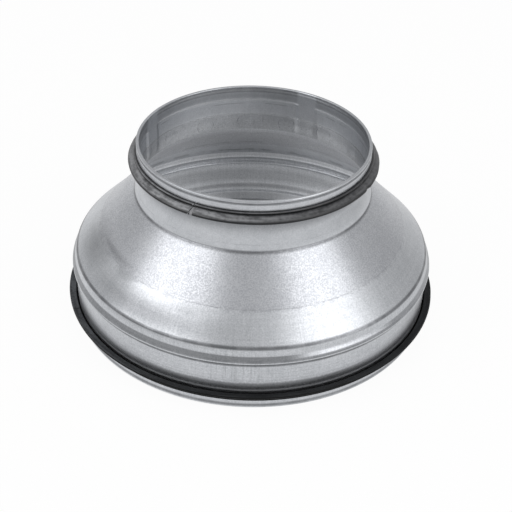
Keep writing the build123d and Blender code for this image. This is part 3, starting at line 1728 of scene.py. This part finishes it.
@dataclass(frozen=True)
class Studio:
    """A pale floor, a white surround, soft boxes and the camera.

    Attributes:
        inner: the painted light on the floor under the part.
        lamps: the soft boxes.
        camera: the photograph's camera.
        aim: height in metres that the lamps point at.
        floor_size: side of the floor in metres.
        floor_glow: share of the floor's look that is plain white paper.
        floor_tone: colour of the paper where it takes light and shadow.
        surround: level of the room's even light.
    """

    inner: InnerLight
    lamps: tuple[SoftBox, ...]
    camera: PhotoCamera
    aim: float = 0.06
    floor_size: float = 30.0
    floor_glow: float = 0.95
    floor_tone: str = "#E6E6E6"
    surround: float = 0.7

    def set_up(self) -> None:
        """Build the floor, the surround, the lamps and the camera."""
        bpy.context.scene.view_settings.view_transform = "Standard"
        self._lay_floor()
        self._light_surround()
        for lamp in self.lamps:
            lamp.place(Vector((0, 0, self.aim)))
        self.camera.set_up()

    def _lay_floor(self) -> None:
        """Lay a floor that reads as white paper and still takes the part's shadow."""
        mesh = bmesh.new()
        bmesh.ops.create_grid(mesh, x_segments=1, y_segments=1, size=self.floor_size / 2)
        data = bpy.data.meshes.new("floor")
        mesh.to_mesh(data)
        mesh.free()
        data.materials.append(self._paper())
        floor = bpy.data.objects.new("floor", data)
        bpy.context.scene.collection.objects.link(floor)

    def _paper(self) -> Material:
        """Matt white paper, which the camera and metal see at a level of its own, with painted light
        under the part.

        Returns:
            The finished material.
        """
        material, paper = new_material("white_paper")
        reach = paper.add("VectorMath", {0: paper.place}, "Value", operation="LENGTH")
        shade = self.inner.level(paper)
        rim = self.inner.radius
        glow = paper.add(
            "MapRange", {0: reach, 1: rim - MM, 2: rim + MM, 3: shade, 4: self.floor_glow}
        )
        rays = paper.add("LightPath", {}).node.outputs
        seen = paper.add(
            "Math", {0: rays["Is Camera Ray"], 1: rays["Is Glossy Ray"]}, operation="MAXIMUM"
        )
        shown = paper.add("Math", {0: seen, 1: rays["Is Transmission Ray"]}, operation="MAXIMUM")
        white = paper.add("Math", {0: glow, 1: shown}, operation="MULTIPLY")
        matt = paper.add("BsdfDiffuse", {"Color": linear(self.floor_tone)})
        light = paper.add("Emission", {"Color": linear(WHITE), "Strength": 1.0})
        mixed = paper.add("MixShader", {0: white, 1: matt, 2: light})
        paper.add("OutputMaterial", {"Surface": mixed})
        return material

    def _light_surround(self) -> None:
        """Fill the room with an even pale light."""
        world = bpy.data.worlds.new("surround")
        world.use_nodes = True
        graph = Graph(world.node_tree)
        pale = graph.add("Background", {"Color": linear(WHITE), "Strength": self.surround})
        graph.add("OutputWorld", {"Surface": pale})
        bpy.context.scene.world = world


def pressed_zinc(welds: SpotWelds) -> GalvanisedSheet:
    """The pressing's zinc, with the marks of the press and of handling, and painted shade at its bends
    and on patches.

    Args:
        welds: the spot welds that show on its air side.

    Returns:
        The finish.
    """
    # Height, half width and share of each ring, from the top down: painted shade at the bends, and fine
    # lines.
    outer_rings = (
        ShadeAndToolRing(91.0, 1.6, 0.65),                     # painted shade at the bend under the collar
        ShadeAndToolRing(64.6, 0.5, 0.25, broken=0.6),         # painted shade at the crease
        ShadeAndToolRing(47.6, 1.6, 0.75, soft=0.8),           # painted shade at the foot of the cone
        ShadeAndToolRing(39.3, 1.2, 0.6, soft=0.5),            # painted shade at the foot of the flare
        ShadeAndToolRing(35.8, 2.2, 0.65, soft=0.4),           # painted shade under the stop, at the top of the skirt
        ShadeAndToolRing(31.4, 0.45, 0.12, broken=0.6),        # fine lines on the skirt
        ShadeAndToolRing(28.2, 0.45, 0.1, broken=0.6),
        ShadeAndToolRing(25.2, 0.45, 0.12, broken=0.6),
        ShadeAndToolRing(22.5, 0.8, 0.12),
        ShadeAndToolRing(2.5, 1.7, 0.6, soft=0.7),             # painted shade in the rolled line of the rim
    )
    air_rings = (
        ShadeAndToolRing(98.6, 7.2, 0.28, soft=0.1, side=Side.AIR),      # painted shade on the upturned neck
        ShadeAndToolRing(75.0, 14.0, 0.22, soft=0.4, side=Side.AIR),     # painted shade in the upper cone
        ShadeAndToolRing(68.4, 1.6, 0.5, broken=0.9, side=Side.AIR),     # painted shade at the crease
        ShadeAndToolRing(53.0, 5.5, 0.5, broken=0.8, side=Side.AIR),     # painted shade in the lower cone
        ShadeAndToolRing(40.6, 1.2, 0.35, side=Side.AIR),                # painted shade at the flare
    )
    # Azimuth, spread, height, half height and share of each dark patch: painted shade, apart from the
    # streaks.
    outer_shades_and_smears = (
        ShadeAndSmear(-64.0, 25.0, 66.9, 3.2, 0.38),                    # painted shade along the crease at the left
        ShadeAndSmear(-50.0, 9.0, 62.5, 5.0, 0.28),
        ShadeAndSmear(-74.0, 22.0, 60.0, 15.0, 0.4),
        ShadeAndSmear(-34.0, 40.0, 53.5, 11.0, 0.58),                   # painted shade that dims the highlight on the lower cone at the left
        ShadeAndSmear(-22.0, 14.0, 59.0, 7.0, 0.32),
        ShadeAndSmear(80.0, 55.0, 45.0, 75.0, 0.17),                    # painted shade over the whole right side
        ShadeAndSmear(78.0, 40.0, 27.0, 16.0, 0.38),                    # painted shade on the skirt at the right
        ShadeAndSmear(-4.0, 17.0, 32.0, 27.0, 0.22, streaked=True),     # streaks at the front
        ShadeAndSmear(-81.0, 100.0, 40.7, 1.9, 0.52, soft=0.35, soft_round=0.08),     # painted shade on the flare, open where the lamp glints
        ShadeAndSmear(112.0, 71.0, 40.7, 1.9, 0.48, soft=0.35, soft_round=0.12),
    )
    # Bands of painted shade across the back of the air side: height, half height, share and softness.
    back_shade_bands = (
        (56.0, 12.0, 0.14, 0.5),
        (45.2, 2.4, 0.2, 0.4),
        (25.5, 8.5, 0.28, 0.7),
        (15.2, 3.2, 0.42, 0.8),
        (5.8, 4.8, 0.34, 0.6),
        (1.6, 2.2, 0.7, 1.0),
    )
    air_shade_bands = tuple(
        ShadeAndSmear(
            azimuth=180.0,
            spread=85.0,
            height=height,
            half_height=half,
            share=share,
            soft=soft,
            soft_round=0.4,
            side=Side.AIR,
        )
        for height, half, share, soft in back_shade_bands
    )
    return GalvanisedSheet(
        "pressed_galvanised_sheet",
        tone="#D1D3D7",
        dull="#A6A9AD",
        grain_depth=0.052,
        tracing=0.6,
        # painted shade on the skirt over the large gasket: its dark reflection in the wall
        gasket_shade=GasketShade(
            low=16.2, low_fade=1.2, high=20.6, high_fade=1.0, share=0.56, fray=0.4, spread=48.0
        ),
        rings=outer_rings + air_rings,
        shades_and_smears=outer_shades_and_smears + air_shade_bands,
        belt=Belt(tone="#BFC1C5", dull="#A6A8AD", low=64.0, high=91.5),
        welds=welds,
        # a pale painted reflection of the large gasket's dusty lip on the wall over it
        pale_reflection=PaleReflection(low=14.0, high=15.2),
    )


def rolled_zinc() -> GalvanisedSheet:
    """The collar's zinc, which is rolled and not drawn.

    Returns:
        The finish.
    """
    # Height, half width and share of each ring, from the top down: painted shade at the bends and
    # edges, and fine lines.
    outer_rings = (
        ShadeAndToolRing(127.4, 1.4, 0.18, soft=0.5),                    # painted shade on the crest of the rim
        ShadeAndToolRing(125.6, 1.2, 0.66, soft=0.6),                    # painted shade in the rolled line of the rim
        ShadeAndToolRing(96.3, 0.4, 0.22, broken=1.0),                   # scratch over the flared foot
        ShadeAndToolRing(92.2, 0.7, 0.45),                               # painted shade at the cut lower edge
    )
    air_rings = (
        ShadeAndToolRing(125.2, 3.2, 0.45, soft=0.6, side=Side.AIR),     # painted shade under the leaning rim
        ShadeAndToolRing(123.6, 0.7, 0.55, side=Side.AIR),
        ShadeAndToolRing(120.5, 5.0, 0.28, side=Side.AIR),               # painted shade on the wall under the rim
        ShadeAndToolRing(113.9, 0.45, 0.4, broken=0.9, side=Side.AIR),
    )
    return GalvanisedSheet(
        "rolled_galvanised_sheet",
        tone="#C8CACE",
        dull="#AEB1B5",
        grain_depth=0.05,
        tracing=0.12,
        # painted shadow of the small gasket on the neck under it
        gasket_shade=GasketShade(low=107.0, low_fade=7.0, high=116.0, high_fade=0.5, share=0.66, fray=0.2),
        rings=outer_rings + air_rings,
        # painted shade on the right side of the neck
        shades_and_smears=(ShadeAndSmear(62.0, 50.0, 103.0, 16.0, 0.28),),
    )


def dusty_rubber(joint_azimuth: float) -> BlackRubber:
    """The small gasket's rubber, grey with dust at the left, which also paints the light on its
    upturned faces.

    Args:
        joint_azimuth: where the ring is jointed.

    Returns:
        The finish.
    """
    return BlackRubber(
        "dusty_epdm_rubber",
        tone="#141517",
        dust_and_light_tone="#9A9B9E",
        roughness=0.36,
        gloss=0.32,
        dusty_azimuth=-45.0,
        dusty_spread=85.0,
        least=0.25,
        shaded_gap_radius=80.2,
        cut_azimuth=joint_azimuth,
    )


def dark_rubber(joint_azimuth: float) -> BlackRubber:
    """The large gasket's rubber, blacker and matt.

    Args:
        joint_azimuth: where the ring is jointed.

    Returns:
        The finish.
    """
    return BlackRubber(
        "black_epdm_rubber",
        tone="#0A0B0C",
        dust_and_light_tone="#5C5E61",
        roughness=0.5,
        gloss=0.12,
        dusty_azimuth=-80.0,
        dusty_spread=75.0,
        least=0.2,
        shaded_gap_radius=125.6,
        cut_azimuth=joint_azimuth,
        bloom_size=1.4,
        grain_depth=0.07,
    )


def photo_studio() -> Studio:
    """The photograph's light and camera.

    Returns:
        The studio.
    """
    return Studio(
        inner=InnerLight(radius=0.1245, middle=0.2, edge=0.46, right=0.75, back=1.2, front=0.7),
        lamps=(
            SoftBox("left_soft_box", azimuth=-63.0, elevation=38.0, width=1.0, height=0.72, power=4.35),
            SoftBox("right_soft_box", azimuth=56.0, elevation=35.0, width=0.85, height=1.05, power=5.0),
            SoftBox("top_soft_box", azimuth=0.0, elevation=86.0, width=0.5, height=0.5, power=0.9),
            SoftBox("low_strip", azimuth=51.0, elevation=11.0, width=0.85, height=0.3, power=1.0),
        ),
        camera=PhotoCamera(
            place=(-0.00022, -0.6474, 0.4886), pitch=35.23, yaw=0.32, roll=1.67, lens=77.34
        ),
    )


def main() -> None:
    """Build every piece in order, then the studio."""
    logging.basicConfig(level=logging.INFO, format="%(name)s: %(message)s")
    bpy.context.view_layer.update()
    neck = SpigotEnd(End.NECK, wall=78.8, rim=127.9)
    skirt = SpigotEnd(End.SKIRT, wall=124.7, rim=0.0)
    seams = (Seam(azimuth=151.2), Seam(azimuth=-113.0, edge=3.0))
    welds = SpotWelds()
    small_gasket = Gasket(
        "small_gasket", "neck_gasket", neck, joint_azimuth=-27.0, wrinkle_azimuth=62.0
    )
    large_gasket = Gasket("large_gasket", "skirt_gasket", skirt, joint_azimuth=-72.0)
    pieces = (
        Pressing(skirt, seams, welds).build(pressed_zinc(welds)),
        Collar(neck, seams).build(rolled_zinc()),
        small_gasket.build(dusty_rubber(small_gasket.joint_azimuth)),
        large_gasket.build(dark_rubber(large_gasket.joint_azimuth)),
    )
    for piece in pieces:
        LOG.info("%s: %d faces", piece.name, len(piece.data.polygons))
    photo_studio().set_up()


if __name__ == "__main__":
    main()
